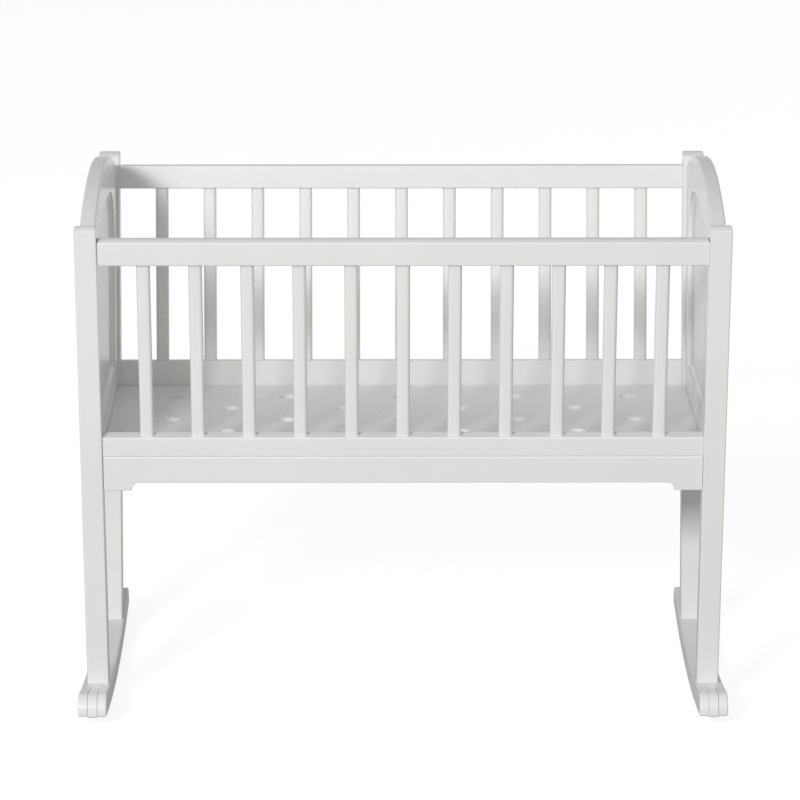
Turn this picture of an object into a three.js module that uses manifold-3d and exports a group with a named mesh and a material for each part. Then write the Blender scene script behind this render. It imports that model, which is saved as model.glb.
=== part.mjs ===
// Rocking cradle: flared slatted sides, panelled ends with arched tops, a perforated base
// and two curved rockers with a folding stop in each tip.
// Millimetres, +Z up, floor at Z = 0, length along X, centre of the footprint at the origin.
import * as THREE from 'three';
import { mergeVertices } from 'three/addons/utils/BufferGeometryUtils.js';
import Module from 'manifold-3d';

const wasm = await Module();
wasm.setup();

// Frame
const HALF_LENGTH = 440; // outer face of the posts
const FOOT = 174; // outer face of the posts from the centre line, at SEAT
const SEAT = 35; // height at which the posts meet the rockers
const LEAN = Math.atan(0.161); // outward lean of the sides
const GAP = 0.3; // air between neighbouring pieces
const POST = 30; // square section of a post
const POST_TOP = 678.9; // crown of the head on the post's middle line, along the lean from SEAT
const HEAD_CROWN = 4.2; // rise of the head between its front and back edge
const HEAD_EDGE = 1.5; // softened front and back edge of the head
const HEAD_ROUND = 3.5; // softened left and right corner of the head
const INNER = HALF_LENGTH - POST; // inner side of the posts

// Slatted sides, heights measured along the lean from SEAT
const SETBACK = 4; // rails behind the face of the posts
const RAIL_DEPTH = 22;
const TOP_RAIL = [625.2, 659.9];
const TOP_RAIL_CROWN = 1.3;
const TOP_RAIL_CORNER = 4.5; // upper corners of its ends
const LOWER_RAIL = [346.9, 374.4];
const RAIL_EDGE = 2; // softened long edges
const LAP = 336.2; // the inner half of the lower rail reaches down to here
const LAP_DEPTH = 14; // depth behind the face of the posts where that half starts
const APRON = [306.9, 346.6];
const APRON_EDGE = 3.2; // rounded upper edge of the apron
const APRON_DROP = 11.5; // lower corner brackets of the apron
const BRACKET_ROUND = 10.1;
const BRACKET = 38.5; // flat length of a bracket
const SLATS = 11;
const SLAT_PITCH = 69.8;
const SLAT_WIDTH = 18.5;
const SLAT_DEPTH = 14;
const SLAT_ROUND = 5;

// Ends
const END_X = 425;
const END_THICK = 21;
const PANEL_THICK = 8;
const ARCH_TOP = 739.5;
const ARCH_RADIUS = 650;
const ARCH_FACE = 50; // flat face above the panel
const STILE_FACE = 48;
const SILL = [328, 411.5]; // bottom board of an end
const STILE = [436, 585]; // joints of the stiles with the sill and with the arch
const SHOULDER = 80; // round upper corners of the opening for the panel
const MOULD = 11; // hollow moulding round the panel
const MOULD_STEEP = 3; // its steep part, next to the face
const MOULD_FALL = 3.7; // height lost on that part
const GROOVE = 6;

// Base
const BASE_TOP = 372.5;
const BASE_THICK = 9;
const HOLE = 12; // radius of the air holes
const HOLE_PITCH = [163.2, 66.7];
const HOLE_ROWS = [5, 4, 5, 4, 5];
const CLEAT = 16; // square section of the battens under it

// Rockers and stops
const ROCKER_X = 427;
const ROCKER_WIDTH = 39;
const WAIST = 25.5; // height of a rocker at its middle
const CREST_BEND = 0.00037; // upward curves of its top and of its sole
const SOLE_BEND = 0.00028;
const TIP = 274; // half length of a rocker
const TIP_ROUND = 22;
const TOE = 1.5; // how far a stop reaches below the sole at its toe
const STOP_WIDTH = 13.2;
const PIN_Y = 214;
const PIN_RADIUS = 3;
const PIN_LENGTH = 34;
const SCREW_RADIUS = 3.5;
const HEAD_RADIUS = 7;

const paint = new THREE.MeshStandardMaterial({ color: 0xf0f0ed, roughness: 0.42, metalness: 0 });
const paintBoard = new THREE.MeshStandardMaterial({ color: 0xe9eae7, roughness: 0.5, metalness: 0 });
const steel = new THREE.MeshStandardMaterial({ color: 0x9b9ea1, roughness: 0.35, metalness: 1 });

const AXIS_X = new THREE.Vector3(1, 0, 0);
const AXIS_Y = new THREE.Vector3(0, 1, 0);
const AXIS_Z = new THREE.Vector3(0, 0, 1);
// A profile drawn in the (Y, Z) plane, pushed along X.
const ALONG_X = new THREE.Matrix4().makeBasis(AXIS_Y, AXIS_Z, AXIS_X);
// Front side: local x is X, local y goes inward from the face of the posts, local z follows the lean.
const SIDE = new THREE.Matrix4().makeRotationX(LEAN).setPosition(0, -FOOT, SEAT);

function solid(geometry) {
  const bare = geometry.clone();
  bare.deleteAttribute('normal');
  bare.deleteAttribute('uv');
  const joined = mergeVertices(bare, 1e-4);
  const index = joined.index.array;
  const kept = [];
  for (let i = 0; i < index.length; i += 3) {
    const [a, b, c] = [index[i], index[i + 1], index[i + 2]];
    if (a !== b && b !== c && c !== a) {
      kept.push(a, b, c);
    }
  }
  return new wasm.Manifold(new wasm.Mesh({
    numProp: 3,
    vertProperties: new Float32Array(joined.attributes.position.array),
    triVerts: new Uint32Array(kept),
  }));
}

function surface(manifold) {
  const mesh = manifold.getMesh();
  const geometry = new THREE.BufferGeometry();
  geometry.setAttribute('position', new THREE.BufferAttribute(new Float32Array(mesh.vertProperties), 3));
  geometry.setIndex(new THREE.BufferAttribute(new Uint32Array(mesh.triVerts), 1));
  geometry.computeVertexNormals();
  return geometry;
}

function piece(name, geometry, material = paint) {
  const mesh = new THREE.Mesh(geometry, material);
  mesh.name = name;
  return mesh;
}

function polygon(points) {
  return new THREE.Shape(points.map(([x, y]) => new THREE.Vector2(x, y)));
}

// Closed profile in the (Y, Z) plane, thickness along X from x0.
function plate(points, x0, thickness) {
  const geometry = new THREE.ExtrudeGeometry(polygon(points), { depth: thickness, bevelEnabled: false });
  geometry.applyMatrix4(ALONG_X);
  geometry.translate(x0, 0, 0);
  return geometry;
}

// Quarter circle about (cx, cy), anticlockwise from the angle start.
function corner(cx, cy, radius, start, steps = 3) {
  const points = [];
  for (let i = 0; i <= steps; i += 1) {
    const a = THREE.MathUtils.degToRad(start + (90 * i) / steps);
    points.push([cx + radius * Math.cos(a), cy + radius * Math.sin(a)]);
  }
  return points;
}

// Section from low to high with softened corners and a top that rises by "crown" in its middle.
function crownedSection(width, low, high, edge, crown) {
  const inner = width / 2 - edge;
  const shoulder = high - crown - edge;
  const top = [];
  for (let i = 1; i < 6; i += 1) {
    const y = inner * (1 - i / 3);
    top.push([y, high - crown * (y / inner) ** 2]);
  }
  return [
    ...corner(inner, shoulder, edge, 0),
    ...(crown > 0 ? top : []),
    ...corner(-inner, shoulder, edge, 90),
    ...corner(-inner, low + edge, edge, 180),
    ...corner(inner, low + edge, edge, 270),
  ];
}

// Bar of rounded section along local z, from z0 to z1.
function bar(width, height, radius, z0, z1) {
  const section = polygon(crownedSection(width, -height / 2, height / 2, radius, 0));
  const geometry = new THREE.ExtrudeGeometry(section, { depth: z1 - z0, bevelEnabled: false });
  geometry.translate(0, 0, z0);
  return geometry;
}

function box(x0, x1, y0, y1, z0, z1) {
  const geometry = new THREE.BoxGeometry(x1 - x0, y1 - y0, z1 - z0);
  geometry.translate((x0 + x1) / 2, (y0 + y1) / 2, (z0 + z1) / 2);
  return geometry;
}

// Curves of a rocker
function crestZ(y) {
  return WAIST + CREST_BEND * y * y;
}

function soleZ(y) {
  return SOLE_BEND * y * y;
}

// Horizontal distance from the centre line to a plane of the sides, "depth" behind the post face.
function sideY(z, depth) {
  return FOOT + Math.tan(LEAN) * (z - SEAT) - depth / Math.cos(LEAN);
}

// Outline of a rocker tip, from the sole at y0 round the tip to the crest at y0, on the +Y side.
function tipOutline(y0, steps) {
  const points = [];
  for (let i = 0; i <= steps; i += 1) {
    const y = y0 + ((TIP - 3 - y0) * i) / steps;
    points.push([y, soleZ(y)]);
  }
  points.push([TIP - 0.9, soleZ(TIP) + 0.6]);
  points.push([TIP, soleZ(TIP) + 3]);
  const top = TIP - TIP_ROUND;
  for (let i = 0; i <= 5; i += 1) {
    const a = (Math.PI / 2) * (i / 5);
    points.push([top + TIP_ROUND * Math.cos(a), crestZ(top) - TIP_ROUND * (1 - Math.sin(a))]);
  }
  for (let i = 1; i <= steps; i += 1) {
    const y = top - ((top - y0) * i) / steps;
    points.push([y, crestZ(y)]);
  }
  return points;
}

function rockerOutline() {
  const half = tipOutline(0, 14);
  const other = half.slice(1, -1).reverse();
  return half.concat(other.map(([y, z]) => [-y, z]));
}

// Screw through the rocker into the post, along the lean at the middle of the post.
function screwProfile(clearance) {
  const r = SCREW_RADIUS + clearance;
  const head = HEAD_RADIUS + clearance;
  return [
    [0, -20 - clearance],
    [head, -20 - clearance],
    [head, -16],
    [r, -16 + clearance],
    [r, 40 + clearance],
    [0, 40 + clearance],
  ];
}

function screw(clearance = 0) {
  const points = screwProfile(clearance).map(([r, z]) => new THREE.Vector2(r, z));
  const geometry = new THREE.LatheGeometry(points, 20);
  geometry.rotateX(Math.PI / 2);
  geometry.translate(END_X, POST / 2, 0);
  return geometry;
}

// Open well below a screw head, out through the sole of the rocker.
function screwWell() {
  const geometry = new THREE.CylinderGeometry(HEAD_RADIUS + GAP, HEAD_RADIUS + GAP, 60, 20);
  geometry.rotateX(Math.PI / 2);
  geometry.translate(END_X, POST / 2, -47);
  return geometry;
}

// Shape of a post head, cut level on the leaning post: crowned from front to back, round to the sides.
function headBlank() {
  const crowned = crownedSection(POST, -60, POST_TOP, HEAD_EDGE, HEAD_CROWN);
  const across = crownedSection(POST, -60, POST_TOP, HEAD_ROUND, 0);
  const profile = plate(crowned, -POST, 2 * POST);
  const front = plate(across, -POST, 2 * POST);
  front.rotateZ(Math.PI / 2);
  const level = new THREE.Matrix4().makeShear(0, 0, 0, -Math.tan(LEAN), 0, 0);
  profile.applyMatrix4(level);
  front.applyMatrix4(level);
  return solid(profile).intersect(solid(front));
}

function postBlank() {
  const section = bar(POST, POST, 2.5, -30, POST_TOP + 5);
  return solid(section).intersect(headBlank());
}

function postGeometry() {
  const seat = [[-TIP, -60], [TIP, -60]];
  for (let i = 0; i <= 16; i += 1) {
    const y = TIP - (TIP * i) / 8;
    seat.push([y, crestZ(y) + GAP]);
  }
  const below = plate(seat, END_X - 40, 80);
  below.applyMatrix4(SIDE.clone().invert());
  const blank = postBlank().translate([END_X, POST / 2, 0]);
  const post = blank.subtract(solid(below)).subtract(solid(screw(GAP)));
  const geometry = surface(post);
  geometry.translate(-END_X, 0, 0);
  return geometry;
}

// Section in the (Y, Z) plane pushed along X between the posts, with softened ends.
function railBar(section) {
  const endRound = RAIL_EDGE - 0.2;
  const length = INNER - GAP - endRound;
  const geometry = new THREE.ExtrudeGeometry(polygon(section), {
    depth: 2 * length,
    bevelThickness: endRound,
    bevelSize: endRound,
    bevelOffset: -endRound,
    bevelSegments: 2,
  });
  geometry.translate(0, 0, -length);
  geometry.applyMatrix4(ALONG_X);
  return geometry;
}

// The crowned section keeps its ends square below and rounded off at the two upper corners.
function topRailGeometry() {
  const [low, high] = TOP_RAIL;
  const geometry = railBar(crownedSection(RAIL_DEPTH, low, high, RAIL_EDGE, TOP_RAIL_CROWN));
  const place = geometry.attributes.position;
  for (let i = 0; i < place.count; i += 1) {
    const above = THREE.MathUtils.clamp(place.getZ(i) - high + TOP_RAIL_CORNER, 0, TOP_RAIL_CORNER);
    const cut = TOP_RAIL_CORNER - Math.sqrt(TOP_RAIL_CORNER ** 2 - above ** 2);
    place.setX(i, place.getX(i) - Math.sign(place.getX(i)) * cut);
  }
  geometry.translate(0, SETBACK + RAIL_DEPTH / 2, 0);
  return geometry;
}

// Lapped over the apron: the inner half is deeper than the outer one.
function lowerRailGeometry() {
  const [low, high] = LOWER_RAIL;
  const back = SETBACK + RAIL_DEPTH;
  return railBar([
    [LAP_DEPTH, low],
    [LAP_DEPTH, LAP],
    [back, LAP],
    ...corner(back - RAIL_EDGE, high - RAIL_EDGE, RAIL_EDGE, 0),
    ...corner(SETBACK + RAIL_EDGE, high - RAIL_EDGE, RAIL_EDGE, 90),
    [SETBACK, low],
  ]);
}

// Front view of the apron with its two corner brackets.
function apronOutline() {
  const end = INNER - 0.6;
  const [low, high] = APRON;
  const drop = low - APRON_DROP;
  const arcX = INNER - BRACKET - BRACKET_ROUND;
  const bracket = corner(arcX, low - BRACKET_ROUND, BRACKET_ROUND, 0, 5);
  const right = [[end, high], [end, drop], [INNER - BRACKET, drop], ...bracket];
  const left = right.slice().reverse();
  return right.concat(left.map(([x, z]) => [-x, z]));
}

function apronGeometry() {
  const back = SETBACK + RAIL_DEPTH - 1;
  const front = new THREE.ExtrudeGeometry(polygon(apronOutline()), { depth: 40, bevelEnabled: false });
  front.rotateX(Math.PI / 2);
  front.translate(0, 35, 0);
  const low = APRON[0] - APRON_DROP - 5;
  const section = plate([
    [SETBACK, low],
    [back, low],
    [back, LAP - GAP],
    [LAP_DEPTH - GAP, LAP - GAP],
    [LAP_DEPTH - GAP, APRON[1]],
    ...corner(SETBACK + APRON_EDGE, APRON[1] - APRON_EDGE, APRON_EDGE, 90),
  ], -INNER, 2 * INNER);
  return surface(solid(front).intersect(solid(section)));
}

// Batten behind the apron that carries the edge of the base, drawn for the front side.
function cleatGeometry() {
  const high = BASE_TOP - BASE_THICK - GAP;
  const low = high - CLEAT;
  const depth = SETBACK + RAIL_DEPTH - 1 + GAP;
  const inside = sideY(low, depth) - CLEAT;
  const points = [[-sideY(high, depth), high], [-sideY(low, depth), low], [-inside, low], [-inside, high]];
  const geometry = plate(points, -INNER + 60, 2 * (INNER - 60));
  geometry.applyMatrix4(SIDE.clone().invert());
  return geometry;
}

function slat(name, x) {
  const from = LOWER_RAIL[1] + GAP;
  const to = TOP_RAIL[0] - GAP;
  const mesh = piece(name, bar(SLAT_WIDTH, SLAT_DEPTH, SLAT_ROUND, from, to));
  mesh.position.set(x, SETBACK + RAIL_DEPTH / 2, 0);
  return mesh;
}

function side(label, turned) {
  const whole = new THREE.Group();
  whole.rotation.z = turned ? Math.PI : 0;
  const lean = new THREE.Group();
  lean.position.set(0, -FOOT, SEAT);
  lean.rotation.x = LEAN;
  whole.add(lean);
  const hand = turned ? { '-1': 'right', 1: 'left' } : { '-1': 'left', 1: 'right' };
  for (const s of [-1, 1]) {
    const post = piece(`post_${label}_${hand[s]}`, postGeometry());
    post.position.set(s * END_X, 0, 0);
    lean.add(post);
    const fixing = piece(`leg_screw_${label}_${hand[s]}`, screw(), steel);
    fixing.geometry.translate(-END_X, 0, 0);
    fixing.position.set(s * END_X, 0, 0);
    lean.add(fixing);
  }
  lean.add(piece(`rail_top_${label}`, topRailGeometry()));
  lean.add(piece(`rail_lower_${label}`, lowerRailGeometry()));
  lean.add(piece(`apron_${label}`, apronGeometry()));
  lean.add(piece(`base_cleat_${label}`, cleatGeometry()));
  for (let i = 0; i < SLATS; i += 1) {
    const x = (i - (SLATS - 1) / 2) * SLAT_PITCH * (turned ? -1 : 1);
    lean.add(slat(`slat_${label}_${String(i + 1).padStart(2, '0')}`, x));
  }
  return whole;
}

// Half width at which a leaning side meets the arch.
function archHalf(depth, radius) {
  const centre = ARCH_TOP - ARCH_RADIUS;
  let half = 250;
  for (let i = 0; i < 20; i += 1) {
    half = sideY(centre + Math.sqrt(radius * radius - half * half), depth);
  }
  return half;
}

// Points of a circle about (y, z) between two angles from the vertical.
function sweep(y, z, radius, from, to, steps) {
  const points = [];
  for (let i = 0; i <= steps; i += 1) {
    const a = from + ((to - from) * i) / steps;
    points.push([y + radius * Math.sin(a), z + radius * Math.cos(a)]);
  }
  return points;
}

// Arched outline of an end: straight flared sides, flat bottom, circular top, round shoulders.
function endOutline(bottom, depth, radius, steps, shoulder = 0) {
  const centre = ARCH_TOP - ARCH_RADIUS;
  const half = archHalf(depth + shoulder, radius - shoulder);
  const turn = Math.asin(half / (radius - shoulder));
  const rise = Math.sqrt((radius - shoulder) ** 2 - half * half);
  const round = sweep(half, centre + rise, shoulder, Math.PI / 2 + LEAN, turn, 5);
  const right = shoulder > 0 ? round.slice(0, -1) : [];
  const left = right.map(([y, z]) => [-y, z]).reverse();
  const top = sweep(0, centre, radius, turn, -turn, steps);
  const edge = sideY(bottom, depth);
  return [[-edge, bottom], [edge, bottom], ...right, ...top, ...left];
}

// Outline of the opening for the panel, "inset" inside the edge of the flat face.
function windowOutline(inset) {
  const radius = ARCH_RADIUS - ARCH_FACE - inset;
  return endOutline(SILL[1] + inset, POST + STILE_FACE + inset, radius, 14, SHOULDER - inset);
}

// Opening that widens from one inset at height x0 over the middle of the end to another at x1.
function windowCutter(fromInset, toInset, x0, x1, inward) {
  const geometry = new THREE.ExtrudeGeometry(polygon(windowOutline(fromInset)), {
    depth: 20,
    bevelEnabled: true,
    bevelThickness: x1 - x0,
    bevelSize: fromInset - toInset,
    bevelSegments: 1,
  });
  geometry.translate(0, 0, x1);
  if (inward) {
    geometry.rotateY(Math.PI);
  }
  geometry.applyMatrix4(ALONG_X);
  return solid(geometry);
}

function endPanel(inset, thickness) {
  return plate(windowOutline(inset), -thickness / 2, thickness);
}

function endFrame() {
  const outer = plate(endOutline(SILL[0], POST + GAP, ARCH_RADIUS, 24), -END_THICK / 2, END_THICK);
  const face = END_THICK / 2;
  let frame = solid(outer);
  for (const inward of [false, true]) {
    frame = frame
      .subtract(windowCutter(MOULD, MOULD_STEEP, PANEL_THICK / 2, face - MOULD_FALL, inward))
      .subtract(windowCutter(MOULD_STEEP, 0, face - MOULD_FALL, face, inward));
  }
  return frame
    .subtract(solid(endPanel(MOULD, END_THICK)))
    .subtract(solid(endPanel(MOULD - GROOVE, PANEL_THICK + 2 * GAP)));
}

function end(label, x) {
  const group = new THREE.Group();
  group.position.x = x;
  const frame = endFrame();
  const [lower, upper] = STILE;
  const parts = {
    [`end_arch_${label}`]: box(-30, 30, -320, 320, upper + GAP, 800),
    [`end_stile_${label}_front`]: box(-30, 30, -320, -20, lower + GAP, upper),
    [`end_stile_${label}_back`]: box(-30, 30, 20, 320, lower + GAP, upper),
    [`end_sill_${label}`]: box(-30, 30, -320, 320, 300, lower),
  };
  for (const [name, region] of Object.entries(parts)) {
    group.add(piece(name, surface(frame.intersect(solid(region)))));
  }
  group.add(piece(`end_panel_${label}`, endPanel(MOULD - GROOVE + GAP, PANEL_THICK), paintBoard));
  return group;
}

function baseOutline() {
  const low = BASE_TOP - BASE_THICK;
  const x = END_X - END_THICK / 2 - 0.8;
  const y = sideY(low, SETBACK + RAIL_DEPTH) - 0.5;
  const notchX = INNER - 0.8;
  const notchY = sideY(low, POST) - 0.8;
  const quarter = [[x, notchY], [notchX, notchY], [notchX, y]];
  const back = quarter.concat(quarter.slice().reverse().map(([a, b]) => [-a, b]));
  return back.concat(back.slice().reverse().map(([a, b]) => [a, -b]));
}

function baseBoard() {
  const shape = polygon(baseOutline());
  HOLE_ROWS.forEach((count, row) => {
    const y = (row - (HOLE_ROWS.length - 1) / 2) * HOLE_PITCH[1];
    for (let i = 0; i < count; i += 1) {
      const hole = new THREE.Path();
      hole.absarc((i - (count - 1) / 2) * HOLE_PITCH[0], y, HOLE, 0, 2 * Math.PI, true);
      shape.holes.push(hole);
    }
  });
  const settings = { depth: BASE_THICK, bevelEnabled: false, curveSegments: 10 };
  const geometry = new THREE.ExtrudeGeometry(shape, settings);
  const mesh = piece('base_board', geometry, paintBoard);
  mesh.position.z = BASE_TOP - BASE_THICK;
  return mesh;
}

function pinHeight() {
  return (crestZ(PIN_Y) + soleZ(PIN_Y)) / 2;
}

// Cross pin of a stop, pushed in from the outer side of the rocker (local +X).
function pin(clearance) {
  const radius = PIN_RADIUS + clearance;
  const geometry = new THREE.CylinderGeometry(radius, radius, PIN_LENGTH, 20);
  geometry.rotateZ(Math.PI / 2);
  geometry.translate((ROCKER_WIDTH - PIN_LENGTH) / 2, 0, 0);
  return geometry;
}

// Screws of one end as they cross the rocker; the rocker is drawn around x = 0.
function screwCut(geometry, turned) {
  geometry.applyMatrix4(SIDE);
  if (turned) {
    geometry.scale(1, -1, 1);
    geometry.index.array.reverse();
  }
  geometry.translate(-ROCKER_X, 0, 0);
  return solid(geometry);
}

function rockerGeometry() {
  const half = ROCKER_WIDTH / 2;
  let body = solid(plate(rockerOutline(), -half, ROCKER_WIDTH));
  const reach = PIN_Y - (crestZ(PIN_Y) - soleZ(PIN_Y)) / 2 - 0.8;
  const slot = STOP_WIDTH / 2 + GAP;
  for (const s of [-1, 1]) {
    const open = box(-slot, slot, Math.min(s * reach, s * 300), Math.max(s * reach, s * 300), -10, 80);
    const bore = pin(GAP);
    bore.scale(1.02, 1, 1);
    bore.translate(0, s * PIN_Y, pinHeight());
    body = body.subtract(solid(open)).subtract(solid(bore));
    body = body.subtract(screwCut(screw(GAP), s > 0)).subtract(screwCut(screwWell(), s > 0));
  }
  return surface(body);
}

function stopGeometry() {
  const radius = (crestZ(PIN_Y) - soleZ(PIN_Y)) / 2;
  const points = tipOutline(PIN_Y, 4);
  for (let i = 1; i < 8; i += 1) {
    const a = Math.PI / 2 + (Math.PI * i) / 8;
    points.push([PIN_Y + radius * Math.cos(a), pinHeight() + radius * Math.sin(a)]);
  }
  const shaped = points.map(([y, z]) => {
    const toe = z < pinHeight() ? (TOE * Math.max(y - PIN_Y, 0)) / (TIP - PIN_Y) : 0;
    return [y - PIN_Y, z - toe - pinHeight()];
  });
  const blank = plate(shaped, -STOP_WIDTH / 2, STOP_WIDTH);
  return surface(solid(blank).subtract(solid(pin(GAP))));
}

function rocker(label, x, turned) {
  const group = new THREE.Group();
  group.position.x = x;
  group.rotation.z = turned ? Math.PI : 0;
  group.add(piece(`rocker_${label}`, rockerGeometry()));
  for (const s of [-1, 1]) {
    const where = (s > 0) === turned ? 'front' : 'back';
    const tip = new THREE.Group();
    tip.position.set(0, s * PIN_Y, pinHeight());
    const foot = piece(`stop_${where}_${label}`, stopGeometry());
    foot.rotation.z = s > 0 ? 0 : Math.PI;
    tip.add(foot);
    tip.add(piece(`stop_pin_${where}_${label}`, pin(0), steel));
    group.add(tip);
  }
  return group;
}

const group = new THREE.Group();
group.name = 'rocking_cradle';
group.add(side('front', false));
group.add(side('back', true));
group.add(end('left', -END_X));
group.add(end('right', END_X));
group.add(baseBoard());
group.add(rocker('left', -ROCKER_X, true));
group.add(rocker('right', ROCKER_X, false));

export default group;
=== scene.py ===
"""Looks of the rocking cradle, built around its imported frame.

Lengths are in millimetres until a mesh is made. The heights of the sides are measured along their lean.
"""

import math

import bmesh
import bpy
from mathutils import Matrix, Vector


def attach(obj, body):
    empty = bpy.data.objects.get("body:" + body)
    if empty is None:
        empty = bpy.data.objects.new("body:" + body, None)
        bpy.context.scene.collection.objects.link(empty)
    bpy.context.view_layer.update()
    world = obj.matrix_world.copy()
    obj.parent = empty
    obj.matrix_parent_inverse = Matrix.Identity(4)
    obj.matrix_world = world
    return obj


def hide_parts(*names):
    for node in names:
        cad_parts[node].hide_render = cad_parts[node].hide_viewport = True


MM = 0.001
CREASE = math.radians(34)  # edges sharper than this stay sharp
AIR = 0.3  # between pieces that meet

# Posts
FOOT = 174.0  # outer face of the posts from the centre line, at SEAT
SEAT = 35.0  # height at which the posts meet the rockers
LEAN = math.atan(0.161)  # outward lean of the sides
POST = 30.0  # square section
POST_ROUND = 2.0  # its long edges
POST_TOP = 678.9  # crown of the head on the post's middle line
HEAD_CROWN = 4.2  # rise of the head between its front and back edge
HEAD_EDGE = 1.5  # softened front and back edge of the head
HEAD_ROUND = 3.5  # softened left and right corner of the head
END_X = 425.0  # middle line of the posts and of the ends
INNER = 410.0  # inner side of the posts

# Sides
SETBACK = 4.0  # rails behind the face of the posts
RAIL_DEPTH = 22.0
RAIL_EDGE = 2.0  # softened long edges
RAIL_EASE = 0.6  # softened rim of the ends
TOP_RAIL = (625.2, 659.9)
TOP_RAIL_CROWN = 1.3
TOP_RAIL_CORNER = 3.4  # upper corners of its ends
LOWER_RAIL = (346.9, 374.4)
LAP = 336.2  # the inner half of the lower rail reaches down to here
LAP_DEPTH = 14.0  # depth behind the face of the posts where that half starts
APRON = (306.9, 346.6)
APRON_DEPTH = RAIL_DEPTH - 1
APRON_EDGE = 3.2  # rounded upper edge
APRON_RIM = 1.6  # its other edges
APRON_DROP = 11.5  # lower corner brackets
BRACKET_ROUND = 10.1
BRACKET = 38.5  # flat length of a bracket
SLAT_COUNT = 11
SLAT_PITCH = 69.8
SLAT = (18.5, 14.0)
SLAT_ROUND = 5.0

# Ends
END_THICK = 21.0
PANEL_THICK = 8.0
PANEL_RIM = 0.6
ARCH_TOP = 739.5
ARCH_RADIUS = 650.0
ARCH_FACE = 50.0  # flat face above the panel
STILE_FACE = 48.0
SILL = (328.0, 411.5)  # bottom board of an end
STILE = (436.0, 585.0)  # joints of the stiles with the sill and with the arch
JOINT = 0.12  # half the width of the hairline at such a joint
SHOULDER = 80.0  # round upper corners of the opening for the panel
MOULD = 11.0  # width of the hollow moulding round the panel
GROOVE = 6.0  # depth of the groove that holds the panel
GROOVE_AIR = 0.15  # on each side of the panel

# Base
BASE_TOP = 372.5
BASE_THICK = 9.0
BASE_RIM = 0.9
HOLE_RADIUS = 12.0
HOLE_PITCH = (163.2, 66.7)
HOLE_ROWS = (5, 4, 5, 4, 5)
CLEAT = 16.0  # square section of the battens under it
CLEAT_RIM = 1.2
CLEAT_SHORT = 60.0  # how far they stop short of the posts

# Rockers and stops
ROCKER_X = 427.0
ROCKER_WIDTH = 39.0
ROCKER_RIM = 2.2
WAIST = 25.5  # height of a rocker at its middle
CREST_BEND = 0.00037  # upward curves of its top and of its sole
SOLE_BEND = 0.00028
TIP = 274.0  # half length of a rocker
TIP_ROUND = 22.0  # upper rounding of its tip
TIP_HEEL = 3.0  # lower rounding of its tip
TOE = 1.5  # how far a stop reaches below the sole at its toe
STOP_WIDTH = 13.2
STOP_RIM = 0.7
SLOT_AIR = 0.35
SLOT_END = 300.0  # the slots are cut from past the tips, and from below the sole to above the crest
SLOT_HEIGHTS = (-10.0, 90.0)
PIN_Y = 214.0
PIN_RADIUS = 3.0
PIN_LENGTH = 34.0
PIN_EDGE = 0.5
WELL_RADIUS = 7.4  # hole for a screw's head
WELL_HEIGHTS = (-60.0, -15.8)  # from below the sole

ALONG_X = Matrix(((0, 0, 1, 0), (1, 0, 0, 0), (0, 1, 0, 0), (0, 0, 0, 1)))
# A side's own axes: x along the cradle, y inward from the face of the posts, z up the lean.
FRONT = Matrix.Translation((0, -FOOT, SEAT)) @ Matrix.Rotation(LEAN, 4, "X")
BACK = Matrix.Rotation(math.pi, 4, "Z") @ FRONT

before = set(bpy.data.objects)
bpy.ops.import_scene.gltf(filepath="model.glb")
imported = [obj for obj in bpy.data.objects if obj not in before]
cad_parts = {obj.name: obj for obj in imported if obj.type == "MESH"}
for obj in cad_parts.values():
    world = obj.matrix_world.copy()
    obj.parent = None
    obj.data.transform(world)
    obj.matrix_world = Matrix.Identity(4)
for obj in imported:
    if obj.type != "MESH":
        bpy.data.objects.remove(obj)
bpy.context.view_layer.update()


# ---------------------------------------------------------------- materials


class Nodes:
    """Short names for building a node tree."""

    def __init__(self, tree):
        self.tree = tree
        tree.nodes.clear()

    def put(self, socket, value):
        if isinstance(value, bpy.types.NodeSocket):
            self.tree.links.new(value, socket)
        else:
            socket.default_value = value

    def add(self, kind, inputs=None, **settings):
        node = self.tree.nodes.new(kind)
        for key, value in settings.items():
            setattr(node, key, value)
        for key, value in (inputs or {}).items():
            self.put(node.inputs[key], value)
        return node

    def object_space(self):
        return self.add("ShaderNodeTexCoord").outputs["Object"]

    def noise(self, where, scale, detail, roughness=0.5):
        inputs = {"Vector": where, "Scale": scale, "Detail": detail, "Roughness": roughness}
        return self.add("ShaderNodeTexNoise", inputs).outputs[0]

    def math(self, operation, a, b):
        return self.add("ShaderNodeMath", {0: a, 1: b}, operation=operation).outputs[0]

    def ramp(self, factor, low, high, start=0.0, end=1.0):
        inputs = {"Value": factor, "From Min": start, "From Max": end, "To Min": low, "To Max": high}
        return self.add("ShaderNodeMapRange", inputs).outputs["Result"]

    def mix(self, factor, a, b):
        node = self.add("ShaderNodeMix", data_type="RGBA")
        for index, value in ((0, factor), (6, a), (7, b)):
            self.put(node.inputs[index], value)
        return node.outputs[2]

    def surface(self, inputs):
        shader = self.add("ShaderNodeBsdfPrincipled", inputs).outputs[0]
        self.add("ShaderNodeOutputMaterial", {"Surface": shader})


def new_material(name):
    material = bpy.data.materials.new(name)
    material.use_nodes = True
    return material, Nodes(material.node_tree)


def edge_mask(n, radius):
    """About 1 on edges and 0 on faces, from how far a rounded normal leaves the real one."""
    rounded = n.add("ShaderNodeBevel", {"Radius": radius}, samples=4).outputs[0]
    real = n.add("ShaderNodeNewGeometry").outputs["Normal"]
    dot = n.add("ShaderNodeVectorMath", {0: rounded, 1: real}, operation="DOT_PRODUCT")
    return n.ramp(dot.outputs["Value"], 1.0, 0.0, 0.80, 0.995)


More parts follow.
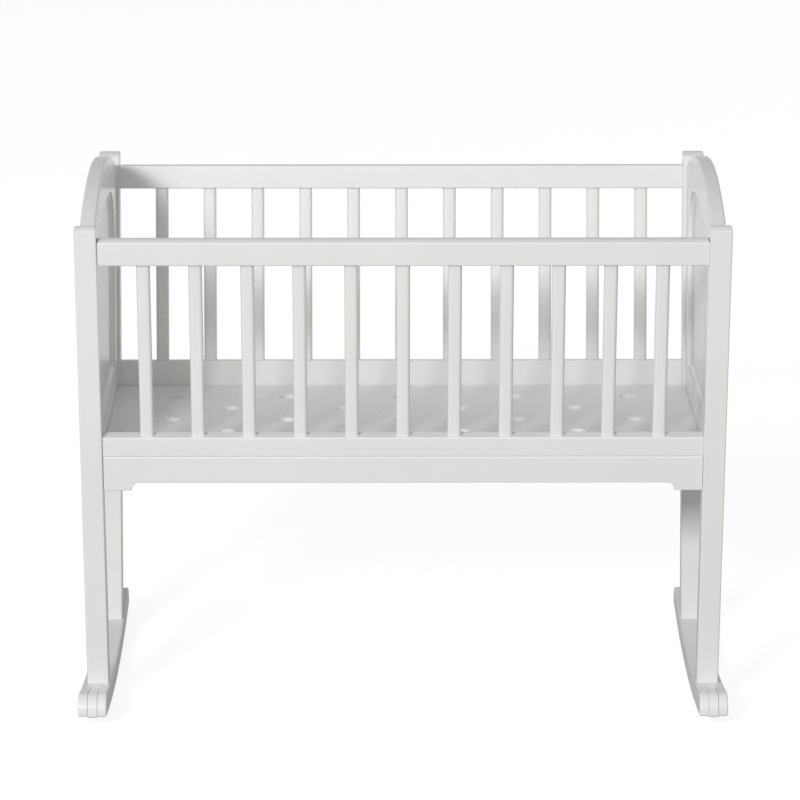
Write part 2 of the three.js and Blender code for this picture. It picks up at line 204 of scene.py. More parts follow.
def paint(name, colour, stretch, rough=0.24, relief_depth=1.0, mottle=1.0):
    """Brushed-out satin paint over wood: faint grain along the piece, orange peel, slightly worn edges.

    relief_depth scales the relief, and mottle the unevenness of the colour and the sheen.
    """
    material, n = new_material(name)
    where = n.object_space()
    along = n.add("ShaderNodeMapping", {"Vector": where, "Scale": stretch}).outputs[0]
    fibre = n.noise(along, 9.0, 6.0, 0.62)
    cloud = n.noise(where, 7.0, 3.0)
    peel = n.noise(where, 900.0, 2.0)
    patch = n.noise(where, 38.0, 4.0)

    dark = tuple(c * (1 - 0.035 * mottle) for c in colour) + (1.0,)
    light = tuple(colour) + (1.0,)
    worn = (colour[0] * 0.97, colour[1] * 0.955, colour[2] * 0.92, 1.0)
    shade = n.mix(n.ramp(cloud, 0.0, 1.0, 0.3, 0.7), dark, light)
    shade = n.mix(n.ramp(fibre, 0.0, 0.10 * mottle, 0.35, 0.75), shade, dark)
    wear = n.math("MULTIPLY", edge_mask(n, 0.0016), n.ramp(patch, 0.0, 0.8, 0.52, 0.72))
    shade = n.mix(wear, shade, worn)

    sheen = n.ramp(cloud, rough - 0.04 * mottle, rough + 0.05 * mottle, 0.3, 0.7)
    relief = n.math("ADD", n.ramp(fibre, 0.0, 0.22), n.ramp(peel, 0.0, 0.10))
    bump = {"Height": relief, "Strength": 0.12, "Distance": 0.0006 * relief_depth}
    normal = n.add("ShaderNodeBump", bump).outputs[0]
    n.surface({"Base Color": shade, "Roughness": sheen, "IOR": 1.48, "Normal": normal})
    return material


def zinc(name):
    """Zinc-plated steel with a fine grain and dulled patches."""
    material, n = new_material(name)
    where = n.object_space()
    fine = n.noise(where, 1400.0, 3.0)
    patch = n.noise(where, 160.0, 4.0)
    shade = n.mix(patch, (0.46, 0.47, 0.48, 1.0), (0.66, 0.66, 0.65, 1.0))
    sheen = n.ramp(patch, 0.26, 0.46)
    normal = n.add("ShaderNodeBump", {"Height": fine, "Strength": 0.2, "Distance": 0.0003}).outputs[0]
    n.surface({"Base Color": shade, "Metallic": 1.0, "Roughness": sheen, "Normal": normal})
    return material


WHITE = (0.80, 0.803, 0.79)
# Painted shade: the end panels get a darker, slightly bluer white than WHITE, which stands in for the darker
# look of the recessed panels.
PANEL_SHADED_WHITE = (0.772, 0.779, 0.768)
# Painted light: the base board gets a lighter white than WHITE, which brightens it beyond what the lamps
# give.
BOARD_LIT_WHITE = (0.85, 0.855, 0.84)
EVEN = (1.0, 1.0, 1.0)
PAINT_X = paint("paint_grain_x", WHITE, (1.0, 14.0, 14.0))
PAINT_Z = paint("paint_grain_z", WHITE, (14.0, 14.0, 1.0))
PAINT_Y = paint("paint_grain_y", WHITE, (14.0, 1.0, 14.0))
PAINT_END = paint("paint_smooth", WHITE, (3.0, 1.0, 3.0), 0.25, relief_depth=0.0, mottle=0.15)
# Painted shade: the panels' darker white stands in for the shade and dull reflections of their recess.
PANEL = paint("paint_on_panel_with_painted_shade", PANEL_SHADED_WHITE, EVEN, 0.28, relief_depth=0.0, mottle=0.15)
# Painted light: the base board's lighter white makes it look more brightly lit.
BOARD = paint("paint_on_board_with_painted_light", BOARD_LIT_WHITE, EVEN, 0.28, relief_depth=0.04, mottle=0.3)
STEEL = zinc("zinc_plated_steel")


# ---------------------------------------------------------------- pieces


def add_piece(bm, node, finish, body, material, matrix=None):
    """Turns a bmesh in millimetres into a finished piece that stands for its CAD node."""
    if matrix is not None:
        bmesh.ops.transform(bm, matrix=matrix, verts=bm.verts)
    bmesh.ops.scale(bm, vec=(MM, MM, MM), verts=bm.verts)
    bmesh.ops.recalc_face_normals(bm, faces=bm.faces)
    name = f"{node}_{finish}"
    mesh = bpy.data.meshes.new(name)
    bm.to_mesh(mesh)
    bm.free()
    mesh.shade_smooth()
    mesh.set_sharp_from_angle(angle=CREASE)
    mesh.materials.append(material)
    piece = bpy.data.objects.new(name, mesh)
    bpy.context.scene.collection.objects.link(piece)
    even = piece.modifiers.new("even_normals", "WEIGHTED_NORMAL")
    even.keep_sharp = True
    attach(piece, body)
    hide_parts(node)


def add_wood(bm, node, material, matrix=None, body="cradle"):
    add_piece(bm, node, "painted", body, material, matrix)


def add_board(bm, node, material, matrix=None):
    add_piece(bm, node, "painted", "cradle", material, matrix)


def add_steel(bm, node, matrix):
    add_piece(bm, node, "zinc", "cradle", STEEL, matrix)


# ---------------------------------------------------------------- mesh tools


def bevel(bm, edges, width, segments):
    bmesh.ops.bevel(
        bm, geom=edges, offset=width, offset_type="OFFSET", segments=segments,
        profile=0.5, affect="EDGES", clamp_overlap=True,
    )


def block(low, high):
    bm = bmesh.new()
    bmesh.ops.create_cube(bm, size=1.0)
    low, high = Vector(low), Vector(high)
    bmesh.ops.scale(bm, vec=high - low, verts=bm.verts)
    bmesh.ops.translate(bm, vec=(low + high) / 2, verts=bm.verts)
    return bm


def slab(outline, low, high, holes=()):
    """Flat outline with holes, given depth along local z."""
    bm = bmesh.new()
    edges = []
    for loop in (outline, *holes):
        verts = [bm.verts.new((x, y, low)) for x, y in loop]
        for i, vert in enumerate(verts):
            edges.append(bm.edges.new((vert, verts[(i + 1) % len(verts)])))
    if holes:
        bmesh.ops.triangle_fill(bm, use_beauty=True, use_dissolve=False, edges=edges)
    else:
        bm.faces.new([e.verts[0] for e in edges])
    grown = bmesh.ops.extrude_face_region(bm, geom=bm.faces[:])
    moved = [g for g in grown["geom"] if isinstance(g, bmesh.types.BMVert)]
    bmesh.ops.translate(bm, vec=(0, 0, high - low), verts=moved)
    bmesh.ops.recalc_face_normals(bm, faces=bm.faces)
    return bm


def skin(bm, rings):
    """Faces between neighbouring rings of equally many vertices."""
    for a, b in zip(rings, rings[1:]):
        for i in range(len(a)):
            j = (i + 1) % len(a)
            bm.faces.new((a[i], a[j], b[j], b[i]))


def loft(rings):
    """Closed solid through rings of equally many (x, y, z) points, capped at both ends."""
    bm = bmesh.new()
    loops = [[bm.verts.new(point) for point in ring] for ring in rings]
    skin(bm, loops)
    bm.faces.new(loops[0])
    bm.faces.new(loops[-1])
    bmesh.ops.recalc_face_normals(bm, faces=bm.faces)
    return bm


def turned(profile, steps=32):
    """Closed solid of revolution about local z from (radius, height) points."""
    bm = bmesh.new()
    rings = []
    for radius, height in profile:
        if radius < 1e-6:
            rings.append([bm.verts.new((0, 0, height))])
            continue
        ring = []
        for i in range(steps):
            a = 2 * math.pi * i / steps
            ring.append(bm.verts.new((radius * math.cos(a), radius * math.sin(a), height)))
        rings.append(ring)
    for lower, upper in zip(rings, rings[1:]):
        for i in range(steps):
            j = (i + 1) % steps
            if len(lower) == 1:
                bm.faces.new((lower[0], upper[i], upper[j]))
            elif len(upper) == 1:
                bm.faces.new((lower[i], lower[j], upper[0]))
            else:
                bm.faces.new((lower[i], lower[j], upper[j], upper[i]))
    bmesh.ops.recalc_face_normals(bm, faces=bm.faces)
    return bm


def cut(bm, cutter):
    """bm minus cutter."""
    objects = []
    for source in (bm, cutter):
        mesh = bpy.data.meshes.new("cut")
        bmesh.ops.recalc_face_normals(source, faces=source.faces)
        source.to_mesh(mesh)
        source.free()
        thing = bpy.data.objects.new("cut", mesh)
        bpy.context.scene.collection.objects.link(thing)
        objects.append(thing)
    target, tool = objects
    modifier = target.modifiers.new("cut", "BOOLEAN")
    modifier.object = tool
    modifier.operation = "DIFFERENCE"
    modifier.solver = "EXACT"
    bpy.context.view_layer.update()
    result = bmesh.new()
    evaluated = target.evaluated_get(bpy.context.evaluated_depsgraph_get())
    result.from_mesh(evaluated.data)
    for thing in objects:
        mesh = thing.data
        bpy.data.objects.remove(thing)
        bpy.data.meshes.remove(mesh)
    return result


def keep_heights(bm, low, high):
    """Cuts the solid level at two heights and closes the cut faces; None leaves that end whole."""
    for level, sign in ((low, -1.0), (high, 1.0)):
        if level is None:
            continue
        everything = bm.verts[:] + bm.edges[:] + bm.faces[:]
        bmesh.ops.bisect_plane(
            bm, geom=everything, plane_co=(0, 0, level), plane_no=(0, 0, sign), clear_outer=True
        )
        open_edges = [e for e in bm.edges if len(e.link_faces) == 1]
        bmesh.ops.holes_fill(bm, edges=open_edges, sides=0)


def rim_edges(bm):
    """Edges between a flat side (normal along z) and the wall round it."""
    bm.normal_update()
    steep = math.radians(60)
    found = []
    for edge in bm.edges:
        flats = [abs(face.normal.z) > 0.99 for face in edge.link_faces]
        if len(flats) == 2 and flats[0] != flats[1] and edge.calc_face_angle(0.0) > steep:
            found.append(edge)
    return found


def sharp_edges(bm, degrees):
    bm.normal_update()
    limit = math.radians(degrees)
    return [e for e in bm.edges if len(e.link_faces) == 2 and e.calc_face_angle(0.0) > limit]


def ring_edges(bm, ring):
    return [bm.edges.get((ring[i], ring[(i + 1) % len(ring)])) for i in range(len(ring))]


def hold_flats(bm):
    """Narrow loop inside each flat side, which keeps the rounding next to it from bending its shading."""
    bm.normal_update()
    for sign in (1, -1):
        flats = [face for face in bm.faces if face.normal.z * sign > 0.9999]
        bmesh.ops.inset_region(bm, faces=flats, thickness=0.5, use_boundary=True, use_even_offset=True)


# ---------------------------------------------------------------- shared curves


def crest(y):
    """Height of a rocker's top."""
    return WAIST + CREST_BEND * y * y


def sole(y):
    """Height of a rocker's underside."""
    return SOLE_BEND * y * y


def side_y(z, depth):
    """Distance from the centre line of a plane this deep behind the face of the posts, at height z."""
    return FOOT + math.tan(LEAN) * (z - SEAT) - depth / math.cos(LEAN)


def arc(cx, cy, radius, start, steps=5):
    """Quarter circle, anticlockwise from the angle start in degrees."""
    angles = [math.radians(start + 90 * i / steps) for i in range(steps + 1)]
    return [(cx + radius * math.cos(a), cy + radius * math.sin(a)) for a in angles]


def sweep(y, z, radius, start, end, steps):
    """Points of a circle about (y, z) between two angles from the vertical."""
    angles = [start + (end - start) * i / steps for i in range(steps + 1)]
    return [(y + radius * math.sin(a), z + radius * math.cos(a)) for a in angles]


def round_off(past, radius):
    """Drop of a quarter round, from 0 at its start to the radius at its end."""
    past = min(max(past, 0.0), radius)
    return radius - math.sqrt(radius ** 2 - past ** 2)


# ---------------------------------------------------------------- rails


def top_section(inset):
    """Top rail section as (depth, height): softened edges and a top that rises in its middle."""
    near, far = SETBACK + inset, SETBACK + RAIL_DEPTH - inset
    middle = SETBACK + RAIL_DEPTH / 2
    radius = max(RAIL_EDGE - inset, 0.25)
    low, high = TOP_RAIL[0] + inset, TOP_RAIL[1] - inset
    inner = far - radius - middle
    shoulder = high - TOP_RAIL_CROWN - radius
    top = []
    for i in range(1, 8):
        y = inner * (1 - i / 4)
        top.append((middle + y, high - TOP_RAIL_CROWN * (y / inner) ** 2))
    return (
        arc(far - radius, shoulder, radius, 0) + top + arc(near + radius, shoulder, radius, 90)
        + arc(near + radius, low + radius, radius, 180) + arc(far - radius, low + radius, radius, 270)
    )


def lapped_section(inset):
    """Lower rail section as (depth, height): its inner half reaches further down than the outer one."""
    near, far = SETBACK + inset, SETBACK + RAIL_DEPTH - inset
    low, high = LOWER_RAIL[0] + inset * 0.4, LOWER_RAIL[1] - inset
    radius = max(RAIL_EDGE - inset, 0.25)
    step = LAP_DEPTH + inset
    nose = 0.5
    return (
        [(step, low), (step, LAP + inset), (far, LAP + inset)]
        + arc(far - radius, high - radius, radius, 0) + arc(near + radius, high - radius, radius, 90)
        + arc(near + nose, low + nose, nose, 180, 2)
    )


def rail_mesh(section, corner_top=None):
    """Section pushed along X between the posts, its ends eased; corner_top rounds the upper corners there."""
    length = INNER - 0.05
    angles = [math.pi / 2 * i / 4 for i in range(5)]
    half = [(length - RAIL_EASE + RAIL_EASE * math.sin(a), RAIL_EASE * (1 - math.cos(a))) for a in angles]
    rings = []
    for x, inset in [(-x, inset) for x, inset in reversed(half)] + half:
        ring = []
        for y, z in section(inset):
            back = round_off(z - corner_top + TOP_RAIL_CORNER, TOP_RAIL_CORNER) if corner_top else 0.0
            ring.append((math.copysign(abs(x) - back, x), y, z))
        rings.append(ring)
    return loft(rings)


# ---------------------------------------------------------------- sides


def head_drop(x, y):
    """How far the head lies below its crown, x and y from its middle."""
    inner = POST / 2 - HEAD_EDGE
    front = HEAD_CROWN * min(abs(y) / inner, 1.0) ** 2 + round_off(abs(y) - inner, HEAD_EDGE)
    sides = round_off(abs(x) - POST / 2 + HEAD_ROUND, HEAD_ROUND)
    return (front ** 4 + sides ** 4) ** (1 / 4)


def square_ring(inset):
    """Square with round corners about its middle, with points along its sides too."""
    half = POST / 2 - inset
    radius = max(POST_ROUND - inset, min(0.3, half / 2))
    c = half - radius
    corners = ((0, c, c, -1, 0), (90, -c, c, 0, -1), (180, -c, -c, 1, 0), (270, c, -c, 0, 1))
    points = []
    for start, cx, cy, dx, dy in corners:
        points += arc(cx, cy, radius, start, 4)
        x, y = points[-1]
        points += [(x + 2 * c * dx * i / 8, y + 2 * c * dy * i / 8) for i in range(1, 8)]
    return points


def make_post(node, matrix, x):
    """Leaning square post; its head is cut level, crowned from front to back and rounded to the sides."""
    foot = []
    for px, py in square_ring(0.0):
        point = Vector((x + px, POST / 2 + py, 0.0))
        for _ in range(6):
            world = matrix @ point
            point.z += (crest(world.y) + AIR / 2 - world.z) / math.cos(LEAN)
        foot.append(point)
    rings = [foot]
    rounding = [HEAD_ROUND * (1 - math.cos(math.pi / 2 * i / 7)) for i in range(8)]
    for inset in rounding + [6.0, 8.5, 11.0, 13.0, 14.5]:
        ring = []
        for px, py in square_ring(inset):
            z = POST_TOP - head_drop(px, py) - py * math.tan(LEAN)
            ring.append((x + px, POST / 2 + py, z))
        rings.append(ring)
    add_wood(loft(rings), node, PAINT_Z, matrix)


def make_screw(node, matrix):
    """Cheese-headed screw with a round socket, seen only from under the rocker."""
    head = [(0, -17.2), (2.2, -17.2), (2.6, -20.0), (6.2, -20.0), (7.0, -19.0), (7.0, -16.2)]
    shank = [(3.4, -16.0), (3.4, 38.0), (1.2, 40.0), (0, 40.0)]
    add_steel(turned(head + shank, 24), node, matrix)


def make_slat(node, x, matrix):
    middle = SETBACK + RAIL_DEPTH / 2
    low = (x - SLAT[0] / 2, middle - SLAT[1] / 2, LOWER_RAIL[1] + 0.1)
    high = (x + SLAT[0] / 2, middle + SLAT[1] / 2, TOP_RAIL[0] - 0.1)
    bm = block(low, high)
    long_edges = [e for e in bm.edges if abs(e.verts[0].co.z - e.verts[1].co.z) > 1e-6]
    bevel(bm, long_edges, SLAT_ROUND, 6)
    add_wood(bm, node, PAINT_Z, matrix)


def apron_outline():
    end = INNER - 0.5
    drop = APRON[0] - APRON_DROP
    flat_end = INNER - BRACKET
    bracket = arc(flat_end - BRACKET_ROUND, APRON[0] - BRACKET_ROUND, BRACKET_ROUND, 0, 12)
    right = [(end, APRON[1]), (end, drop), (flat_end, drop)] + bracket
    return right + [(-x, z) for x, z in reversed(right)]


def make_apron(node, matrix):
    """Board with a bracket at each end, rounded along its top front edge and rebated behind for the rail."""
    bm = slab(apron_outline(), 0.0, APRON_DEPTH)
    lower_rim = [e for e in rim_edges(bm) if max(v.co.y for v in e.verts) < APRON[1] - 1]
    bevel(bm, lower_rim, APRON_RIM, 4)
    bm.normal_update()
    top_front = []
    for edge in bm.edges:
        if all(abs(v.co.y - APRON[1]) < 0.01 and v.co.z > APRON_DEPTH - 0.5 for v in edge.verts):
            top_front.append(edge)
    bevel(bm, top_front, APRON_EDGE, 6)
    back = SETBACK + APRON_DEPTH
    upright = Matrix.Translation((0, back, 0)) @ Matrix.Rotation(math.pi / 2, 4, "X")
    bmesh.ops.transform(bm, matrix=upright, verts=bm.verts)
    rebate = block((-INNER - 5, LAP_DEPTH - 0.2, LAP - 0.2), (INNER + 5, back + 5, APRON[1] + 5))
    add_wood(cut(bm, rebate), node, PAINT_X, matrix)


def make_cleat(node, turn):
    """Batten behind the apron, its outer face cut to the lean."""
    high = BASE_TOP - BASE_THICK - AIR
    low = high - CLEAT
    depth = SETBACK + RAIL_DEPTH - 0.7
    inside = side_y(low, depth) - CLEAT
    outline = [(-side_y(high, depth), high), (-side_y(low, depth), low), (-inside, low), (-inside, high)]
    bm = slab(outline, CLEAT_SHORT - INNER, INNER - CLEAT_SHORT)
    bevel(bm, sharp_edges(bm, 50), CLEAT_RIM, 2)
    add_wood(bm, node, PAINT_X, turn @ ALONG_X)


def make_side(label, matrix, mirrored):
    turn = Matrix.Rotation(math.pi if mirrored else 0.0, 4, "Z")
    for s in (-1, 1):
        hand = "left" if (s < 0) != mirrored else "right"
        make_post(f"post_{label}_{hand}", matrix, s * END_X)
        make_screw(f"leg_screw_{label}_{hand}", matrix @ Matrix.Translation((s * END_X, POST / 2, 0)))
    add_wood(rail_mesh(top_section, TOP_RAIL[1]), f"rail_top_{label}", PAINT_X, matrix)
    add_wood(rail_mesh(lapped_section), f"rail_lower_{label}", PAINT_X, matrix)
    make_apron(f"apron_{label}", matrix)
    make_cleat(f"base_cleat_{label}", turn)
    for i in range(SLAT_COUNT):
        x = (i - (SLAT_COUNT - 1) / 2) * SLAT_PITCH * (-1 if mirrored else 1)
        make_slat(f"slat_{label}_{i + 1:02d}", x, matrix)


# ---------------------------------------------------------------- ends


def end_outline(bottom, depth, radius, shoulder=0.0):
    """Straight flared sides, flat bottom, circular top and round shoulders, as (y, z) points."""
    centre = ARCH_TOP - ARCH_RADIUS
    small = radius - shoulder
    half = 250.0
    for _ in range(20):
        half = side_y(centre + math.sqrt(small * small - half * half), depth + shoulder)
    turn = math.asin(half / small)
    right = []
    if shoulder > 0:
        rise = math.sqrt(small * small - half * half)
        right = sweep(half, centre + rise, shoulder, math.pi / 2 + LEAN, turn, 12)[:-1]
    edge = side_y(bottom, depth)
    top = sweep(0.0, centre, radius, turn, -turn, 52)
    return [(-edge, bottom), (edge, bottom)] + right + top + [(-y, z) for y, z in reversed(right)]


def outer_ring(inset):
    return end_outline(SILL[0] + inset, POST + AIR + inset, ARCH_RADIUS - inset)


def window_ring(inset):
    radius = ARCH_RADIUS - ARCH_FACE - inset
    return end_outline(SILL[1] + inset, POST + STILE_FACE + inset, radius, SHOULDER - inset)


def rounded_rim():
    """Outer edge of an end as (inset, height above its middle plane)."""
    face = END_THICK / 2
    return [(0.0, 6.6), (0.3, 8.3), (1.2, 9.6), (2.4, 10.3), (3.9, face), (4.6, face)]


def moulding():
    """From the face of the frame into the groove: a hollow, steep at the face and flat at the panel."""
    face = END_THICK / 2
    fall = 5.6
    points = [(-0.7, face), (0.0, face), (0.12, face - 0.08), (0.25, face - 0.3)]
    for i in range(1, 9):
        a = math.pi / 2 * i / 8
        points.append((0.25 + 10.4 * (1 - math.cos(a)), face - 0.5 - fall * math.sin(a)))
    groove = PANEL_THICK / 2 + GROOVE_AIR
    return points + [(MOULD, groove), (MOULD - GROOVE, groove)]


def frame_mesh():
    """Ring-shaped board: an outer wall, a moulded opening with a groove, and two flat faces between them."""
    bm = bmesh.new()
    outer = [(outer_ring(inset), x) for inset, x in rounded_rim()]
    outer = [(ring, -x) for ring, x in reversed(outer)] + outer
    window = [(window_ring(inset), x) for inset, x in moulding()]
    window = window + [(ring, -x) for ring, x in reversed(window)]
    walls = []
    for wall in (outer, window):
        walls.append([[bm.verts.new((x, y, z)) for y, z in ring] for ring, x in wall])
    for wall in walls:
        skin(bm, wall)
    for edge_of_outer, edge_of_window in ((0, -1), (-1, 0)):
        edges = ring_edges(bm, walls[0][edge_of_outer]) + ring_edges(bm, walls[1][edge_of_window])
        bmesh.ops.triangle_fill(bm, use_beauty=True, use_dissolve=False, edges=edges)
    bmesh.ops.recalc_face_normals(bm, faces=bm.faces)
    return bm


def make_end(label, x):
    """Frame in four members, parted by hairline joints, round a panel in its groove."""
    shift = Matrix.Translation((x, 0, 0))
    lower, upper = STILE
    members = (
        (f"end_arch_{label}", upper + JOINT, None, 0),
        (f"end_stile_{label}_front", lower + JOINT, upper - JOINT, -1),
        (f"end_stile_{label}_back", lower + JOINT, upper - JOINT, 1),
        (f"end_sill_{label}", None, lower - JOINT, 0),
    )
    for node, low, high, side in members:
        bm = frame_mesh()
        keep_heights(bm, low, high)
        other_side = [v for v in bm.verts if v.co.y * side < 0]
        bmesh.ops.delete(bm, geom=other_side, context="VERTS")
        add_wood(bm, node, PAINT_END, shift)
    panel = slab(window_ring(MOULD - GROOVE + 0.4), -PANEL_THICK / 2, PANEL_THICK / 2)
    bevel(panel, rim_edges(panel), PANEL_RIM, 2)
    hold_flats(panel)
    add_board(panel, f"end_panel_{label}", PANEL, shift @ ALONG_X)


# ---------------------------------------------------------------- base


def base_outline():
    """Rectangle with a notch round each post."""
    low = BASE_TOP - BASE_THICK
    x = END_X - END_THICK / 2 - 0.1
    y = side_y(low, SETBACK + RAIL_DEPTH) - 0.5
    notch_x = INNER - 0.8
    notch_y = side_y(low, POST) - 0.8
    quarter = [(x, notch_y), (notch_x, notch_y), (notch_x, y)]
    back = quarter + [(-a, b) for a, b in reversed(quarter)]
    return back + [(a, -b) for a, b in reversed(back)]


def make_base():
    holes = []
    ring = [2 * math.pi * k / 40 for k in range(40)]
    for row, count in enumerate(HOLE_ROWS):
        cy = (row - (len(HOLE_ROWS) - 1) / 2) * HOLE_PITCH[1]
        for i in range(count):
            cx = (i - (count - 1) / 2) * HOLE_PITCH[0]
            holes.append([(cx + HOLE_RADIUS * math.cos(a), cy + HOLE_RADIUS * math.sin(a)) for a in ring])
    bm = slab(base_outline(), BASE_TOP - BASE_THICK, BASE_TOP, holes)
    bevel(bm, rim_edges(bm), BASE_RIM, 3)
    hold_flats(bm)
    add_board(bm, "base_board", BOARD)


# ---------------------------------------------------------------- rockers


PIN_Z = (crest(PIN_Y) + sole(PIN_Y)) / 2
STOP_RADIUS = (crest(PIN_Y) - sole(PIN_Y)) / 2  # round end of a stop, about its pin


def tip_outline(y0, steps):
    """From the sole at y0 round the tip to the crest at y0, on the +Y side."""
    heel = TIP - TIP_HEEL
    along_sole = [y0 + (heel - y0) * i / steps for i in range(steps + 1)]
    points = [(y, sole(y)) for y in along_sole]
    for i in range(1, 5):
        a = math.pi / 2 * i / 4
        points.append((heel + TIP_HEEL * math.sin(a), sole(heel) + TIP_HEEL * (1 - math.cos(a))))
    top = TIP - TIP_ROUND
    for i in range(11):
        a = math.pi / 2 * i / 10
        points.append((top + TIP_ROUND * math.cos(a), crest(top) - TIP_ROUND * (1 - math.sin(a))))
    for i in range(1, steps + 1):
        y = top - (top - y0) * i / steps
        points.append((y, crest(y)))
    return points


def rocker_outline():
    half = tip_outline(0.0, 36)
    return half + [(-y, z) for y, z in reversed(half[1:-1])]


def stop_outline():
    """Tip of a rocker as far as a round end about the pin, its toe reaching below the sole."""
    points = tip_outline(PIN_Y, 8)
    for i in range(1, 20):
        a = math.pi / 2 + math.pi * i / 20
        points.append((PIN_Y + STOP_RADIUS * math.cos(a), PIN_Z + STOP_RADIUS * math.sin(a)))
    shaped = []
    for y, z in points:
        toe = TOE * max(y - PIN_Y, 0.0) / (TIP - PIN_Y) if z < PIN_Z else 0.0
        shaped.append((y, z - toe))
    return shaped


def pin_bar(radius, length):
    """Pin along X, its outer end flush with the outer side of a rocker drawn about x = 0."""
    slim, short = radius - PIN_EDGE, length - PIN_EDGE
    bm = turned([(0, 0), (slim, 0), (radius, PIN_EDGE), (radius, short), (slim, length), (0, length)])
    stand = Matrix.Translation((ROCKER_WIDTH / 2 - length, 0, 0)) @ Matrix.Rotation(math.pi / 2, 4, "Y")
    bmesh.ops.transform(bm, matrix=stand, verts=bm.verts)
    return bm


def pin_bore(s):
    """What a pin's hole takes out of the rocker, on the side s."""
    bore = pin_bar(PIN_RADIUS + 0.12, PIN_LENGTH + 1.5)
    bmesh.ops.translate(bore, vec=(0.75, s * PIN_Y, PIN_Z), verts=bore.verts)
    return bore


def screw_well(s):
    """What the head of a post's screw takes out of the rocker, on the side s."""
    low, top = WELL_HEIGHTS
    well = turned([(0, low), (WELL_RADIUS, low), (WELL_RADIUS, top), (0, top)])
    side = FRONT if s < 0 else BACK
    post = Matrix.Translation((END_X * -s, POST / 2, 0))
    where = Matrix.Translation((-ROCKER_X, 0, 0)) @ side @ post
    bmesh.ops.transform(well, matrix=where, verts=well.verts)
    return well


def make_rocker(label, x, mirrored):
    place = Matrix.Translation((x, 0, 0)) @ Matrix.Rotation(math.pi if mirrored else 0.0, 4, "Z")
    half = ROCKER_WIDTH / 2
    bm = slab(rocker_outline(), -half, half)
    bevel(bm, rim_edges(bm), ROCKER_RIM, 4)
    bmesh.ops.transform(bm, matrix=ALONG_X, verts=bm.verts)
    reach = PIN_Y - STOP_RADIUS - 0.8
    slot = STOP_WIDTH / 2 + SLOT_AIR
    for s in (-1, 1):
        near, far = sorted((s * reach, s * SLOT_END))
        bm = cut(bm, block((-slot, near, SLOT_HEIGHTS[0]), (slot, far, SLOT_HEIGHTS[1])))
        bm = cut(bm, pin_bore(s))
        bm = cut(bm, screw_well(s))
    add_wood(bm, f"rocker_{label}", PAINT_Y, place)
    for s in (-1, 1):
        where = "front" if (s > 0) == mirrored else "back"
        make_stop(f"stop_{where}_{label}", s, place)
        pin = pin_bar(PIN_RADIUS, PIN_LENGTH)
        bmesh.ops.translate(pin, vec=(0, s * PIN_Y, PIN_Z), verts=pin.verts)
        add_steel(pin, f"stop_pin_{where}_{label}", place)


def make_stop(node, s, place):
    """Slip that fills the slot in a rocker's tip and turns on its pin; it rides on a body of its own."""
    bm = slab(stop_outline(), -STOP_WIDTH / 2, STOP_WIDTH / 2)
    bevel(bm, rim_edges(bm), STOP_RIM, 3)
    bmesh.ops.transform(bm, matrix=ALONG_X, verts=bm.verts)
    bore = PIN_RADIUS + 0.2
    hole = turned([(0, -40), (bore, -40), (bore, 40), (0, 40)])
    aim = Matrix.Translation((0, PIN_Y, PIN_Z)) @ Matrix.Rotation(math.pi / 2, 4, "Y")
    bmesh.ops.transform(hole, matrix=aim, verts=hole.verts)
    bm = cut(bm, hole)
    if s < 0:
        bmesh.ops.scale(bm, vec=(1, -1, 1), verts=bm.verts)
    add_wood(bm, node, PAINT_Y, place, body=node)


make_side("front", FRONT, False)
make_side("back", BACK, True)
make_end("left", -END_X)
make_end("right", END_X)
make_base()
make_rocker("left", -ROCKER_X, True)
make_rocker("right", ROCKER_X, False)


# ---------------------------------------------------------------- stage


def ray_switch(n, seen, felt, mirrored=0.0):
    """One shader for the camera and another for the light on the object; reflections get a mix of both."""
    rays = n.add("ShaderNodeLightPath")
    part = n.math("MULTIPLY", rays.outputs["Is Glossy Ray"], mirrored)
    share = n.math("MAXIMUM", rays.outputs["Is Camera Ray"], part)
    return n.add("ShaderNodeMixShader", {0: share, 1: felt, 2: seen}).outputs[0]


def make_floor():
    """Seamless pale floor: nearly white to the camera, with only a faint shadow left on it."""
    bm = bmesh.new()
    bmesh.ops.create_grid(bm, x_segments=1, y_segments=1, size=30.0)
    mesh = bpy.data.meshes.new("floor")
    bm.to_mesh(mesh)
    bm.free()
    material, n = new_material("pale_floor")
    where = n.object_space()
    shade = n.mix(n.noise(where, 0.8, 2.0), (0.36, 0.36, 0.348, 1.0), (0.40, 0.40, 0.388, 1.0))
    lit = n.add("ShaderNodeBsdfDiffuse", {"Color": shade}).outputs[0]
    lift = n.add("ShaderNodeEmission", {"Color": (1, 1, 0.98, 1), "Strength": 0.03}).outputs[0]
    felt = n.add("ShaderNodeAddShader", {0: lit, 1: lift}).outputs[0]
    faint = n.add("ShaderNodeBsdfDiffuse", {"Color": (0.30, 0.30, 0.30, 1.0)}).outputs[0]
    glow = n.add("ShaderNodeEmission", {"Color": (1, 1, 1, 1), "Strength": 0.84}).outputs[0]
    seen = n.add("ShaderNodeAddShader", {0: faint, 1: glow}).outputs[0]
    behind = n.add("ShaderNodeSeparateXYZ", {0: where}).outputs["Y"]
    mirrored = n.ramp(behind, 0.25, 0.95, 0.3, 2.0)
    n.add("ShaderNodeOutputMaterial", {"Surface": ray_switch(n, seen, felt, mirrored)})
    material.cycles.emission_sampling = "NONE"
    mesh.materials.append(material)
    floor = bpy.data.objects.new("floor", mesh)
    floor.location.z = -0.0005
    bpy.context.scene.collection.objects.link(floor)


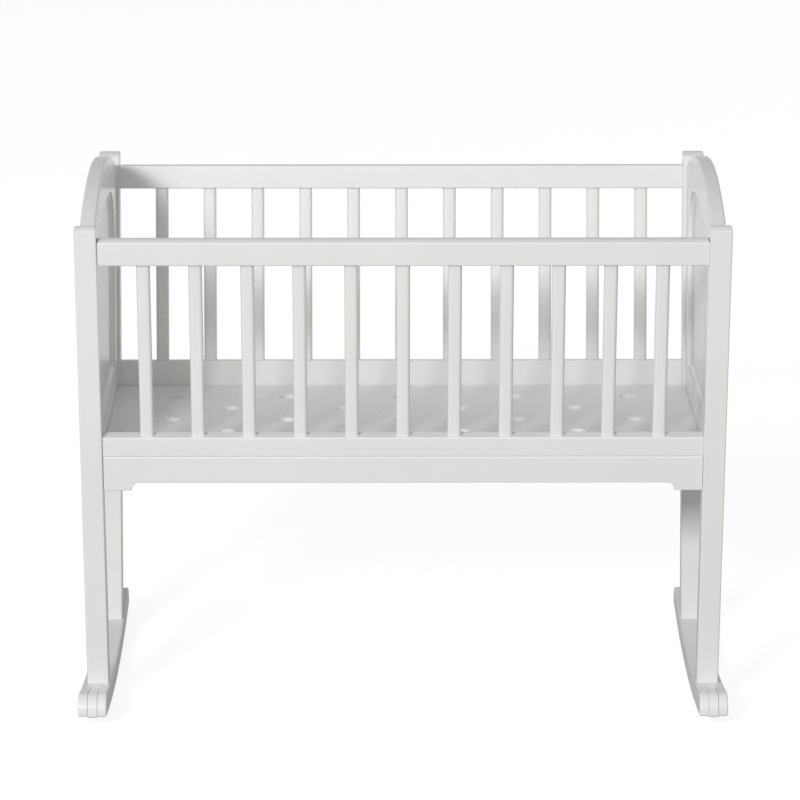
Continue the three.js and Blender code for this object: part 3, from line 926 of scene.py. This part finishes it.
def area_light(name, azimuth, elevation, distance, size, power):
    """Soft box aimed at the middle of the cradle; azimuth 0 is straight in front, negative to the left."""
    data = bpy.data.lights.new(name, "AREA")
    data.shape = "RECTANGLE"
    data.size, data.size_y = size
    data.energy = power
    light = bpy.data.objects.new(name, data)
    a, e = math.radians(azimuth), math.radians(elevation)
    away = Vector((math.sin(a) * math.cos(e), -math.cos(a) * math.cos(e), math.sin(e)))
    light.location = Vector((0, 0, 0.4)) + away * distance
    light.rotation_mode = "QUATERNION"
    light.rotation_quaternion = away.to_track_quat("Z", "Y")
    bpy.context.scene.collection.objects.link(light)


def make_world():
    """Even studio walls, slightly brighter on the camera side, under a darker ceiling."""
    world = bpy.data.worlds.new("studio")
    world.use_nodes = True
    n = Nodes(world.node_tree)
    towards = n.add("ShaderNodeTexCoord").outputs["Generated"]
    split = n.add("ShaderNodeSeparateXYZ", {0: towards}).outputs
    height = n.ramp(split["Z"], 0.57, 0.32, 0.0, 0.9)
    side = n.ramp(split["Y"], 1.05, 0.94, -0.6, 0.6)
    walls = {"Color": (1.0, 1.0, 0.985, 1.0), "Strength": n.math("MULTIPLY", height, side)}
    felt = n.add("ShaderNodeBackground", walls).outputs[0]
    seen = n.add("ShaderNodeBackground", {"Color": (1.0, 1.0, 1.0, 1.0), "Strength": 1.0}).outputs[0]
    n.add("ShaderNodeOutputWorld", {"Surface": ray_switch(n, seen, felt)})
    world.cycles.sampling_method = "NONE"
    bpy.context.scene.world = world


def make_camera():
    """Long lens nearly six metres away, looking slightly down."""
    down, turn = math.radians(14.074), math.radians(-0.24)
    data = bpy.data.cameras.new("camera")
    data.sensor_width = 36.0
    data.lens = 192.7
    data.clip_end = 100.0
    camera = bpy.data.objects.new("camera", data)
    camera.location = (-0.0278, -5.8742, 1.8735)
    camera.rotation_euler = (math.pi / 2 - down, 0, turn)
    bpy.context.scene.collection.objects.link(camera)
    bpy.context.scene.camera = camera


make_floor()
make_world()
make_camera()
area_light("key", -20, 21.5, 9.0, (1.7, 1.25), 500)
area_light("top", 5, 48, 6.0, (3.0, 2.4), 18)
area_light("back", 128, 14, 7.0, (3.0, 2.0), 34)
bpy.context.scene.view_settings.view_transform = "Standard"
